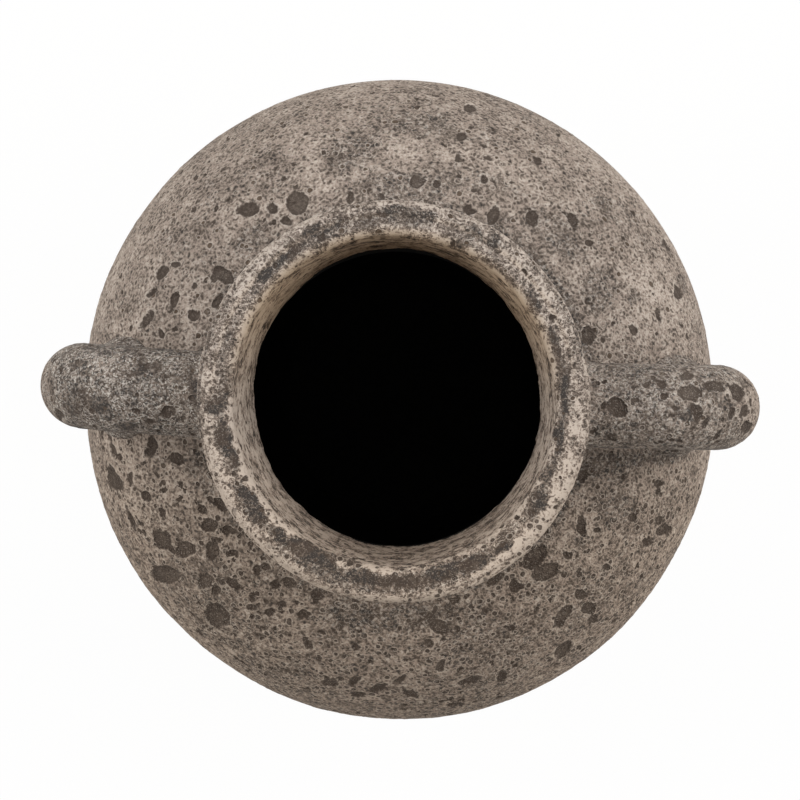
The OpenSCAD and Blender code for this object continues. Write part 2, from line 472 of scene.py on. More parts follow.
def seen_at(pixel_x, pixel_y):
    """Point of the clay that a pixel shows, and the millimetres that a pixel stands for there."""
    right, up, forward = camera_axes()
    middle = PHOTO_PX / 2
    ray = forward + right * (pixel_x - middle) / FOCAL_PX + up * (middle - pixel_y) / FOCAL_PX
    height = VASE_H
    for _ in range(RAY_STEPS):
        away = (CAMERA_SPOT[2] - height) / -ray[2]
        point = CAMERA_SPOT + ray * away
        height = top_height(point[0], point[1])
    return point, away / FOCAL_PX


def photo_pixels(points):
    """Where the photograph shows each point, in pixels across and down."""
    right, up, forward = camera_axes()
    away = points - CAMERA_SPOT
    scale = FOCAL_PX / (away @ forward)
    return PHOTO_PX / 2 + np.stack([away @ right * scale, -(away @ up) * scale], axis=1)


def placed(marks):
    """Each mark with the point of the clay in its middle and the size of a pixel there."""
    return [(mark, *seen_at(*mark[:2])) for mark in marks]


PITS = placed(itertools.chain(*PITS_SEEN.values()))
SMUDGES_AND_SHADOWS = {region: placed(marks) for region, marks in SMUDGES_AND_SHADOWS_SEEN.items()}


def around_marks(points, marks):
    """For each mark, the points near it, their place across it (1 is its edge) and its half width."""
    pixels = photo_pixels(points)
    for (x, y, length, width, *lean), centre, pixel_mm in marks:
        off = pixels - (x, y)
        near = np.flatnonzero(np.abs(off).max(axis=1) < 2 * length)
        far = np.linalg.norm(points[near] - centre, axis=1)
        near = near[far < 2 * length * pixel_mm + MARK_ROOM]
        across, down = off[near].T
        turn = math.radians(sum(lean))
        along = across * math.cos(turn) - down * math.sin(turn)
        beside = across * math.sin(turn) + down * math.cos(turn)
        yield near, np.hypot(along / length, beside / width), width * pixel_mm


# Finish of the clay

def graded(points, grades):
    """Sum of strengths that each come in along an axis."""
    return sum(strength * smooth_step(points[:, axis], start, end) for strength, axis, start, end in grades)


def clouded(points, size, strength, salt):
    """Rough noise of a given strength."""
    return strength * rough_noise(points, size, salt)


def on_rim(points):
    """1 on the crest of the rim, 0 below it."""
    return smooth_step(points[:, 2], *CREST_Z)


def pit_distance(points):
    """Distance from the edge of the nearest pit, negative inside it."""
    uneven = wobbled(wobbled(points, *PIT_WAVES), *PIT_RIPPLES)
    far_share, near_share = SMALL_PIT_SHARE
    small_share = far_share + (near_share - far_share) * smooth_step(points[:, 1], *PITS_NEAR)
    small_share *= 1 - RIM_WITHOUT_PITS * on_rim(points)
    large_share = LARGE_PIT_SHARE * smooth_step(points[:, 2], *PITS_BELOW)
    nearest = np.minimum(
        foam_pits(uneven, small_share, *SMALL_PITS), foam_pits(uneven, large_share, *LARGE_PITS))
    for near, place, width in around_marks(uneven, PITS):
        nearest[near] = np.minimum(nearest[near], (place - 1) * width)
    return nearest


def soot_and_shade_share(points, added):
    """How dark the skin is painted, charcoal together with painted shade and painted light: below 0 for
    clean cream clay, 1 for charcoal.
    """
    soot = SOOT + clouded(points, *SOOT_CLOUDS) + clouded(points, *SOOT_PATCHES)
    # Painted shade on the near side and in the cove, and painted light beside the rim's charcoal band
    soot += NEAR_PAINTED_SHADE * smooth_step(points[:, 1], *PAINTED_SHADE_NEAR) + rim_soot_and_light(points) + cove_painted_shade(points)
    soot += GROOVE_SOOT * groove_share(points) + added
    uneven = wobbled(points, *SMUDGE_AND_SHADOW_WAVES)
    for region, marks in SMUDGES_AND_SHADOWS.items():
        for near, place, _ in around_marks(uneven, marks):
            missing = np.maximum(SMUDGE_SOOT_AND_SHADE[region] - soot[near], 0)
            on_top = on_rim(points[near]) if region.startswith("rim") else 1
            soot[near] += missing * on_top * smooth_step(place, *SMUDGE_AND_SHADOW_EDGE)
    return np.clip(soot, *SOOT_RANGE)


def rim_soot_and_light(points):
    """A dusky, blotchy band round the rim, and pale clay on both sides of it: worn outside, with painted
    light on the near side of the outer edge, and painted light inside it at the left and right.
    """
    x, y, _ = points.T
    angle = np.arctan2(y, x)
    band = BAND_R - BAND_SHIFT * np.cos(angle) - BAND_STRETCH * np.cos(2 * angle)
    off = (np.hypot(x, y) - band) / BAND_WIDTH
    patchy = np.clip(BAND_COVER + clouded(points, *BAND_PATCHES), 0, 1)
    dusky = (BAND_SOOT - graded(points, BAND_FADES)) * patchy * smooth_step(np.abs(off), *BAND_EDGE)
    # Painted light: the outer edge is painted paler on the near side, and the inner lip at the left and
    # right
    worn_and_lit = graded(points, RIM_WORN_AND_LIT) + graded(points, LEFT_WORN) * smooth_step(y, *LEFT_WORN_FAR)
    outside = worn_and_lit * smooth_step(off, *OUTSIDE_BAND)
    inner_lip_light = INNER_LIP_LIGHT - graded(points, INNER_LIGHT_LESS)
    inside = inner_lip_light * smooth_step(np.abs(x), *INNER_LIGHT_BESIDE) * smooth_step(off, *INSIDE_BAND)
    return on_rim(points) * (dusky + clouded(points, *BLOTCHES) - outside - inside)


def cove_painted_shade(points):
    """Painted shade in the cove round the neck, most of it close under the rim, where the rim's shadow
    falls.
    """
    x, y, z = points.T
    radius = np.hypot(x, y)
    off_neck = (radius - NECK_R) / COVE_R
    cove_shade = sum(strength * smooth_step(off_neck, end, COVE_SHADE_FULL) for strength, end in COVE_SHADE)
    cove_shade *= smooth_step(radius, MOUTH_R, NECK_R)
    return cove_shade * smooth_step(z, RIM_Z, SEAT_Z) * smooth_step(z, BELLY_Z, SHOULDER_Z - COVE_R)


def groove_share(points):
    """Where a broken groove runs round the outside of the rim's crest."""
    x, y, _ = points.T
    off = (np.hypot(x, y) - GROOVE_R) / GROOVE_WIDTH
    broken = smooth_step(value_noise(points, *GROOVE_BREAKS), *GROOVE_BROKEN)
    return broken * np.exp(-off ** 2) * on_rim(points)


def clay_lift(points, pit):
    """How far the skin stands out from the plain form."""
    size, height, salt = WAVES
    hand = height * value_noise(points, size, salt) + clouded(points, *LUMPS)
    hollow = PIT_DEPTH * smooth_step(pit, *PIT_WALL)
    lip = LIP_HEIGHT * np.exp(-((pit - LIP_PLACE) / LIP_WIDTH) ** 2)
    return hand - hollow + lip - GROOVE_DEPTH * groove_share(points)


def weathered(points, outward, show=1.0, throat=0.0, added_soot=0.0, worms=0.0):
    """The points moved by the finish, and what the material needs to know at each of them."""
    pit = pit_distance(points)
    lift = show * (clay_lift(points, pit) + throat * clouded(points, *THROAT_LUMPS))
    # Painted light: the throat is painted paler, most at its left and right, where the side lamps shine into
    # it
    beside = 1 + np.abs(points[:, 0]) / THROAT_R
    soot = soot_and_shade_share(points, added_soot + THROAT_PAINTED_LIGHT * throat * beside)
    everywhere = np.ones(len(points))
    finish = {"pit": pit, "soot": soot, "throat": throat * everywhere, "worms": worms * everywhere}
    return points + outward * lift[:, None], finish


# Outlines, as rows of radius, height, outward direction and whether the skin shows there

def arc(centre, radius, start, end):
    """Points along an arc between two angles above level."""
    count = max(2, round(abs(end - start) * radius / FINE))
    angles = np.linspace(start, end, count + 1)
    return np.stack([centre[0] + radius * np.cos(angles), centre[1] + radius * np.sin(angles)], axis=1)


def line(start, end):
    """Points along a straight stretch."""
    count = max(2, round(math.dist(start, end) / FINE))
    return np.linspace(start, end, count + 1)


def angle_to(centre, point):
    """Angle above level of a point seen from a centre."""
    return math.atan2(point[1] - centre[1], point[0] - centre[0])


def lengths_along(points):
    """Length from the first point to each point."""
    steps = np.linalg.norm(np.diff(points, axis=0), axis=1)
    return np.concatenate([[0.0], np.cumsum(steps)])


def spaced(points, spacing):
    """The same path with its points evenly spaced, and how far along each of them is."""
    far = lengths_along(points)
    places = np.linspace(0, far[-1], round(far[-1] / spacing) + 1)
    return np.stack([np.interp(places, far, column) for column in points.T], axis=1), places


def softened(points):
    """An evenly spaced outline with its corners rubbed round."""
    reach = round(3 * CORNER_ROUND / FINE)
    weights = np.exp(-0.5 * (np.arange(-reach, reach + 1) * FINE / CORNER_ROUND) ** 2)
    weights /= weights.sum()
    padded = np.pad(points, ((reach, reach), (0, 0)), mode="reflect", reflect_type="odd")
    return np.stack([np.convolve(column, weights, mode="valid") for column in padded.T], axis=1)


def outside_outline():
    """The plain outline from the ground up over the rim and down inside to the throat."""
    toe = angle_to(UPPER_C, COVE_C)
    outer_bead, inner_bead = (RIM_R - BEAD_R, BEAD_Z), (MOUTH_R + BEAD_R, BEAD_Z)
    between = math.acos((outer_bead[0] - inner_bead[0]) / 2 / BEAD_R)
    under = math.acos(1 - BEAD_PROUD / BEAD_R)
    return np.concatenate([
        line((GROUND_R - FOOT_CHAMFER, 0), (GROUND_R, FOOT_CHAMFER)),
        line((GROUND_R, FOOT_CHAMFER), (FOOT_R, BASE_T))[1:],
        arc(LOWER_C, LOWER_R, angle_to(LOWER_C, (FOOT_R, BASE_T)), 0)[1:],
        arc(UPPER_C, UPPER_R, 0, toe)[1:],
        arc(COVE_C, COVE_R, toe + math.pi, math.pi),
        line((NECK_R, SEAT_Z), (NECK_R, RIM_Z))[1:],
        line((NECK_R, RIM_Z), (RIM_R - BEAD_PROUD, RIM_Z + RIM_SLOPE_H))[1:],
        arc(outer_bead, BEAD_R, -under, math.pi - between),
        arc(inner_bead, BEAD_R, between, math.pi + under)[1:],
        line((MOUTH_R, RIM_Z), (THROAT_R, THROAT_Z)),
    ])


class Skin:
    """The whole outside as one soft outline, with the places along it where the pieces meet."""

    def __init__(self):
        even, self.far = spaced(outside_outline(), FINE)
        points = softened(even)
        along = np.gradient(points, axis=0)
        normals = np.stack([along[:, 1], -along[:, 0]], axis=1)
        normals /= np.linalg.norm(normals, axis=1)[:, None]
        show = np.clip(points[:, 1] / FOOT_CHAMFER, 0, 1)
        self.columns = np.column_stack([points, normals, show])
        height = points[:, 1]
        crest = height.argmax()
        self.foot_seam, self.belly_seam, self.seat_seam, self.rim_seam = np.interp(
            (BASE_T, BELLY_Z, SEAT_Z, RIM_Z), height[:crest], self.far[:crest])
        self.rim_inside, self.seat_inside = np.interp(
            (-RIM_Z, -SEAT_Z), -height[crest:], self.far[crest:])
        self.throat = self.far[-1]

    def rows(self, start, end, spacing):
        """Evenly spaced rows from one place along the skin to another."""
        places = np.linspace(start, end, max(1, round((end - start) / spacing)) + 1)
        return np.stack([np.interp(places, self.far, column) for column in self.columns.T], axis=1)


def hidden(*points):
    """Rows of an outline that no one sees, given as points."""
    rows = np.zeros((len(points), 5))
    rows[:, :2] = points
    return rows


def hidden_arc(centre, radius, start, end):
    """Rows along an arc that no one sees, without its ends."""
    points = arc(centre, radius, start, end)
    count = max(3, round(abs(end - start) * radius / HIDDEN_ROW))
    keep = np.linspace(0, len(points) - 1, count + 1).round().astype(int)
    return hidden(*points[keep[1:-1]])


# Meshes

def add_object(name, data):
    """New object in the scene."""
    made = bpy.data.objects.new(name, data)
    bpy.context.collection.objects.link(made)
    return made


def mesh_piece(name, points, faces, finish):
    """Object with smooth faces that carries a value of each finish at every point."""
    mesh = bpy.data.meshes.new(name)
    mesh.from_pydata(points * MM, [], faces)
    for key, values in finish.items():
        mesh.attributes.new(key, "FLOAT", "POINT").data.foreach_set("value", values.astype(np.float32))
    mesh.shade_smooth()
    mesh.set_sharp_from_angle(angle=SHARP_ANGLE)
    mesh.validate()
    return add_object(name, mesh)


def ring_quads(rows, columns, closed):
    """Four-sided faces between neighbouring rows of a tube, which may close on itself."""
    steps = np.arange(rows if closed else rows - 1)
    row, column = np.meshgrid(steps, np.arange(columns), indexing="ij")
    above, beside = (row + 1) % rows, (column + 1) % columns
    corners = (row, column), (row, beside), (above, beside), (above, column)
    return np.stack([r * columns + c for r, c in corners], axis=-1).reshape(-1, 4).tolist()


def fan(ring, middle):
    """Three-sided faces from a ring of points to one in its middle."""
    return [(a, b, middle) for a, b in zip(ring, ring[1:] + ring[:1])]


def oval_share(rows):
    """How far out of round each row is."""
    inside = rows[:, 2] < -0.5
    share = np.interp(rows[:, 1], (SEAT_Z, RIM_Z), (BODY_OVAL, RIM_OVAL))
    share[inside] = np.interp(rows[inside, 1], (THROAT_Z, RIM_Z), (THROAT_OVAL, RIM_OVAL))
    return share


def bulge(angles):
    """How far the belly comes out of its round in each direction."""
    total = np.zeros(len(angles))
    for way, spread, out in BULGES:
        turned = (np.degrees(angles) - way + 180) % 360 - 180
        total += out * np.exp(-(turned / spread) ** 2)
    return total


def swept_round(rows, columns):
    """Points and outward directions of rows turned about the axis, a little oval and off centre."""
    angles = np.tile(np.arange(columns) * math.tau / columns, len(rows))
    radius, height, out_r, out_z = np.repeat(rows[:, :4], columns, axis=0).T
    oval = np.repeat(oval_share(rows), columns)
    radius = radius * (1 + oval * np.cos(2 * (angles - OVAL_AXIS)))
    radius += np.exp(-((height - BELLY_Z) / BULGE_HEIGHT) ** 2) * bulge(angles)
    off = np.interp(height, (BELLY_Z, THROAT_Z, RIM_Z), (0, THROAT_OFF, RIM_OFF))
    points = np.stack([radius * np.cos(angles), radius * np.sin(angles) + off, height], axis=1)
    return points, np.stack([out_r * np.cos(angles), out_r * np.sin(angles), out_z], axis=1)


def capped(points, faces, columns, low, high):
    """A tube closed by fans from its first and last ring to points of the axis."""
    count = len(points)
    faces += fan(list(range(columns))[::-1], count) + fan(list(range(count - columns, count)), count + 1)
    return np.concatenate([points, [(0, 0, low), (0, 0, high)]]), faces


def turned_piece(name, *parts, caps=None):
    """Clay turned from an outline in parts, which closes on itself or at two heights of the axis."""
    rows = np.vstack(parts)
    points, outward = swept_round(rows, COLUMNS)
    show, throat = (np.repeat(values, COLUMNS) for values in (rows[:, 4], np.clip(-rows[:, 2], 0, 1)))
    points, finish = weathered(points, outward, show, throat)
    faces = ring_quads(len(rows), COLUMNS, closed=not caps)
    if caps:
        points, faces = capped(points, faces, COLUMNS, *caps)
        finish = {key: np.append(values, (0, 0)) for key, values in finish.items()}
    return mesh_piece(name, points, faces, finish)


def make_base_slab(skin):
    return turned_piece(
        "foot_clay",
        hidden((RECESS_R / 2, RECESS_DEPTH), (RECESS_R - RECESS_DEPTH, RECESS_DEPTH), (RECESS_R, 0)),
        skin.rows(0, skin.foot_seam, RIM_ROW),
        hidden((FOOT_R / 2, BASE_T)), caps=(RECESS_DEPTH, BASE_T))


def make_lower_body(skin):
    inner_r = LOWER_R - WALL
    foot_inner = LOWER_C[0] + math.sqrt(inner_r ** 2 - (BELLY_Z - BASE_T) ** 2)
    return turned_piece(
        "lower_body_clay",
        skin.rows(skin.foot_seam, skin.belly_seam, LOWER_ROW),
        hidden((BODY_R - WALL, BELLY_Z)),
        hidden_arc(LOWER_C, inner_r, 0, angle_to(LOWER_C, (foot_inner, BASE_T))),
        hidden((foot_inner, BASE_T)))


def make_upper_body(skin):
    return turned_piece(
        "upper_body_clay",
        skin.rows(skin.belly_seam, skin.seat_seam, SHOULDER_ROW),
        skin.rows(skin.seat_inside, skin.throat, NECK_ROW),
        hidden_arc(UPPER_C, UPPER_R - WALL, angle_to(UPPER_C, (THROAT_R, THROAT_Z)), 0),
        hidden((BODY_R - WALL, BELLY_Z)))


def make_neck(skin):
    return turned_piece(
        "neck_clay",
        skin.rows(skin.seat_seam, skin.rim_seam, NECK_ROW),
        skin.rows(skin.rim_inside, skin.seat_inside, NECK_ROW))


def make_rim(skin):
    return turned_piece("rim_clay", skin.rows(skin.rim_seam, skin.rim_inside, RIM_ROW))


def lining_face(inset):
    """Outline of the coat's outer or inner face, from the floor up to the throat."""
    lower, upper, floor = LOWER_R - WALL - inset, UPPER_R - WALL - inset, BASE_T + inset
    low = math.asin((floor - BELLY_Z) / lower)
    high = math.acos((THROAT_R - UPPER_C[0]) / upper)
    face = np.vstack([arc(LOWER_C, lower, low, 0), arc(UPPER_C, upper, 0, high)[1:]])
    return spaced(face, 2 * LOWER_ROW)[0]


def make_lining():
    rows = hidden(*lining_face(0), *lining_face(LINING_T)[::-1])
    points, _ = swept_round(rows, LINING_COLUMNS)
    faces = ring_quads(len(rows), LINING_COLUMNS, closed=False)
    points, faces = capped(points, faces, LINING_COLUMNS, BASE_T, BASE_T + LINING_T)
    return mesh_piece("lining_coat", points, faces, {})


def coil_path(stretch):
    """Centre line of the right handle's coil, run on into the walls, and its distance from each wall."""
    into = WALL / 2
    elbow = (ELBOW_C[0] + stretch, ELBOW_C[1])
    leg = (LEG_C[0] + stretch, LEG_C[1])
    to_leg = np.subtract(leg, UPPER_C)
    apart = np.linalg.norm(to_leg)
    meet = math.acos((UPPER_R ** 2 - apart ** 2 - LEG_R ** 2) / (2 * LEG_R * apart))
    land = meet - math.atan2(to_leg[1], to_leg[0])
    points, places = spaced(np.vstack([
        line((NECK_R - into, HANDLE_Z), (elbow[0], HANDLE_Z)),
        arc(elbow, BEND_R, math.pi / 2, 0)[1:],
        arc(leg, LEG_R, 0, -land - into / LEG_R)[1:]]), COIL_ROW)
    from_wall = np.minimum(places, places[-1] - places) - into
    return points, np.clip(from_wall, 0, ROOT_LEN)


def make_handle(name, side):
    """Coil handle on the +X side, or turned half round to the -X side."""
    path, from_wall = coil_path(HANDLE_STRETCH[side])
    along = np.gradient(path, axis=0)
    along /= np.linalg.norm(along, axis=1)[:, None]
    radius = COIL_R + ROOT_FLARE * (1 - from_wall / ROOT_LEN) ** 2
    angles = np.arange(COIL_COLUMNS) * math.tau / COIL_COLUMNS
    level = np.broadcast_to(-np.sin(angles) * side, (len(path), COIL_COLUMNS))
    outward = np.stack([
        -along[:, 1:] * np.cos(angles) * side, level, along[:, :1] * np.cos(angles)], axis=2)
    off = np.interp(path[:, 0], (NECK_R, HANDLE_REACH - COIL_R), HANDLE_OFF[side])
    centre = np.stack([path[:, 0] * side, off, path[:, 1]], axis=1)
    points = (centre[:, None] + outward * radius[:, None, None]).reshape(-1, 3)
    out = np.abs(points[:, 0])
    soot = ROOT_SOOT + (1 - ROOT_SOOT) * smooth_step(out - NECK_R, *HANDLE_ROOT)
    soot *= HANDLE_SOOT[side] * smooth_step(HANDLE_REACH - out, 0, HANDLE_TIP)
    points, finish = weathered(
        points, outward.reshape(-1, 3), added_soot=soot, worms=HANDLE_WORMS[side])
    faces = ring_quads(len(path), COIL_COLUMNS, closed=False)
    faces.append(tuple(range(COIL_COLUMNS))[::-1])
    faces.append(tuple(range(len(points) - COIL_COLUMNS, len(points))))
    return mesh_piece(name, points, faces, finish)


# Materials

# Grains of the paint: size in millimetres, finer layers on it, and how strong those are
GRAINS = dict(
    grain=(1.3, 2.0, 0.55), veins=(1.9, 1.0, 0.5), clumps=(6.0, 3.0, 0.55), specks=(0.45, 1.0, 0.5),
    mottle=(3.0, 2.0, 0.5), stains=(9.0, 3.0, 0.5), rags=(1.5, 3.0, 0.6), tracks=(1.4, 1.0, 0.5),
    gaps=(1.0, 1.0, 0.5), brush=(6.0, 4.0, 0.6), bends=(2.0, 1.0, 0.5))
MIDDLE = 0.5
BEND_REACH = 0.5
RAG_REACH = 1.5
BRUSH_STRETCH = (1.0, 1.0, 4.0)

# Where each thing in the paint starts and is full
EDGES = dict(
    ash=(-0.4, -0.12), beige=(-0.18, 0.12), cream=(0.08, 0.34), slip=(-0.2, 0.2), stains=(0.46, 0.58),
    clean_crest=(1.3, 0.9), no_crater=(0.0, 0.01), ring_outside=(0.6, 0.35), ring_inside=(0.0, 0.2),
    ring_off_soot=(1.1, 0.7), burst=(0.25, 0.27), hole=(0.15, -0.1), bare=(0.3, -0.25),
    lip_outside=(0.75, 0.3), lip_inside=(0.0, 0.25), lip_clumps=(0.42, 0.62), bed=(0.4, 0.7),
    deep=(-0.2, -1.4), sooty=(0.3, 0.8), off_soot=(1.2, 0.9), off_pits=(-0.1, 0.4), tracks=(0.06, 0.03),
    gaps=(0.4, 0.54), track_clumps=(0.36, 0.52), granules=(0.54, 0.64), specks=(0.6, 0.7),
    salt=(0.6, 0.72), salt_off_soot=(1.4, 0.8), brushed=(0.45, 0.7))

# What a value is multiplied by and what is then added to it
SWINGS = dict(
    mottle=(0.35, -0.17), streaks=(2.2, -1.1), crest=(0.6, 0.4), blisters=(0.42, 0.44), deep=(0.7, 0.3),
    coat=(0.2, 0.75))

# How far each thing makes the slip paler, how much it covers, how far it stands out in millimetres,
# and how rough it is
LEVELS = dict(
    grain=0.6, veins=-1.8, clumps=0.45, mottle=1.0, soot=-0.42, streaks=1.0, speckles=1.0, plain=-0.22)
CREST_SPECKLES = dict(specks=0.9, grain=0.5, plain=-0.7)
COVERS = dict(ring=0.6, hole=0.9, pore=0.7, lip=0.7, salt=0.3)
FLECKS = dict(specks=0.25, tracks=0.85, granules=0.35)
BED_ASH = dict(speckle=1.0, stains=0.28)
RELIEF = dict(slip=0.45, hole=-0.3, pore=-0.25, ring=0.15, bare=-0.35, lip=0.1, specks=0.2)
BRUSH_RELIEF = 0.4
ROUGHNESS = dict(bare=0.05, specks=0.1, plain=0.82)
SHEEN = 0.25

# Blisters and pores: size of the cells they lie in, radius of the smallest, and how much it grows
BLISTERS = (3.2, 0.3, 0.9)
PORES = (2.5, 0.2, 0.4)
PORE_SHARE = 0.4
BURST_NEAR = 0.2
NO_CRATER = 9.0
CLUMPED_SOOT = 1.2

# Sockets of a mix of colours
MIX_SHARE = 0
MIX_FIRST = 6
MIX_SECOND = 7
MIX_RESULT = 2


def colour(seen):
    """Linear colour from values as the eye sees them."""
    share = np.array(seen) / 255
    linear = np.where(share <= 0.04045, share / 12.92, ((share + 0.055) / 1.055) ** 2.4)
    return (*linear.tolist(), 1.0)


class Nodes:
    """Nodes of a material or the world. A value is a number, vector, colour or another node's output."""

    def __init__(self, tree):
        self.tree = tree

    def feed(self, socket, value):
        if isinstance(value, bpy.types.NodeSocket):
            self.tree.links.new(value, socket)
        else:
            socket.default_value = value

    def node(self, kind, inputs, **settings):
        """New node with its settings, and with values for its inputs by name or number."""
        made = self.tree.nodes.new(kind)
        for name, value in settings.items():
            setattr(made, name, value)
        for key, value in inputs.items():
            self.feed(made.inputs[key], value)
        return made

    def math(self, operation, *values, kind="ShaderNodeMath"):
        return self.node(kind, dict(enumerate(values)), operation=operation).outputs[0]

    def product(self, *values):
        result = values[0]
        for value in values[1:]:
            result = self.math("MULTIPLY", result, value)
        return result

    def seen_directly(self):
        """1 where the camera looks, also in gloss or through glass, and 0 for all other light."""
        path = self.node("ShaderNodeLightPath", {}).outputs
        seen = self.math("MAXIMUM", path["Is Camera Ray"], path["Is Glossy Ray"])
        return self.math("MAXIMUM", seen, path["Is Transmission Ray"])

    def send(self, output, share, first, second):
        """Sends a mix of two shaders to an output."""
        blend = self.node("ShaderNodeMixShader", {0: share, 1: first.outputs[0], 2: second.outputs[0]})
        self.feed(self.tree.nodes[output].inputs["Surface"], blend.outputs[0])


class Painter(Nodes):
    """Paints one material."""

    def __init__(self, name):
        self.material = bpy.data.materials.new(name)
        self.material.use_nodes = True
        super().__init__(self.material.node_tree)
        self.shader = self.tree.nodes["Principled BSDF"]

    @cached_property
    def place(self):
        """Place on the piece, in millimetres."""
        return self.stretched(self.node("ShaderNodeTexCoord", {}).outputs["Object"], (1 / MM,) * 3)

    def stretched(self, vector, factors):
        return self.math("MULTIPLY", vector, factors, kind="ShaderNodeVectorMath")

    def along(self, axis):
        return self.node("ShaderNodeSeparateXYZ", {0: self.place}).outputs[axis]

    def attribute(self, name):
        return self.node("ShaderNodeAttribute", {}, attribute_name=name).outputs["Fac"]

    def total(self, *terms):
        """Sum of values, each times its factor."""
        result = 0.0
        for value, factor in terms:
            result = self.math("MULTIPLY_ADD", value, factor, result)
        return result

    def weighed(self, weights, **values):
        """Sum of values, each times its weight, and of the weight of plain clay."""
        values["plain"] = 1.0
        return self.total(*((values[name], weight) for name, weight in weights.items()))

    def swing(self, value, kind):
        factor, plus = SWINGS[kind]
        return self.total((value, factor), (1.0, plus))

    def off_middle(self, value):
        """How far a grain's value is from its middle."""
        return self.math("ABSOLUTE", self.math("SUBTRACT", value, MIDDLE))

    def step(self, value, start, end):
        """0 at start and beyond, 1 at end and beyond."""
        limits = dict(enumerate((value, start, end, 0.0, 1.0)))
        return self.node("ShaderNodeMapRange", limits, interpolation_type="SMOOTHSTEP").outputs[0]

    def where(self, **values):
        """Product of how far each value is past the edges of that name."""
        return self.product(*(self.step(value, *EDGES[name]) for name, value in values.items()))

    def mix(self, first, second, share, blend="MIX"):
        """Two colours mixed. One that is given as the eye sees it is made linear."""
        pair = [colour(given) if isinstance(given, tuple) else given for given in (first, second)]
        inputs = {MIX_SHARE: share, MIX_FIRST: pair[0], MIX_SECOND: pair[1]}
        return self.node("ShaderNodeMix", inputs, data_type="RGBA", blend_type=blend).outputs[MIX_RESULT]

    def laid(self, painted, coat, share, kind):
        """The paint with a coat over it that covers as much as its kind does."""
        return self.mix(painted, coat, self.product(share, COVERS[kind]))

    def noise(self, grain, place=None, output="Fac"):
        """Noise from about 0.2 to 0.8, with blobs as large as the grain says."""
        size, detail, roughness = GRAINS[grain]
        inputs = {"Vector": place or self.place, "Scale": 1 / size, "Detail": detail, "Roughness": roughness}
        return self.node("ShaderNodeTexNoise", inputs).outputs[output]

    def cells(self, size, place):
        """Distance from the nearest of many scattered points, and two random numbers of that point."""
        found = self.node("ShaderNodeTexVoronoi", {"Vector": place, "Scale": 1 / size}).outputs
        numbers = self.node("ShaderNodeSeparateColor", {0: found["Color"]}).outputs
        return self.product(found["Distance"], size), numbers[0], numbers[1]

    def finish(self, base, roughness, height):
        """Sets the shader's colour, roughness and relief, the relief in millimetres."""
        bump = self.node("ShaderNodeBump", {"Distance": MM, "Height": height})
        sockets = self.shader.inputs
        self.feed(sockets["Normal"], bump.outputs[0])
        self.feed(sockets["Base Color"], base)
        self.feed(sockets["Roughness"], roughness)
        self.feed(sockets["Specular IOR Level"], SHEEN)
        return self.material


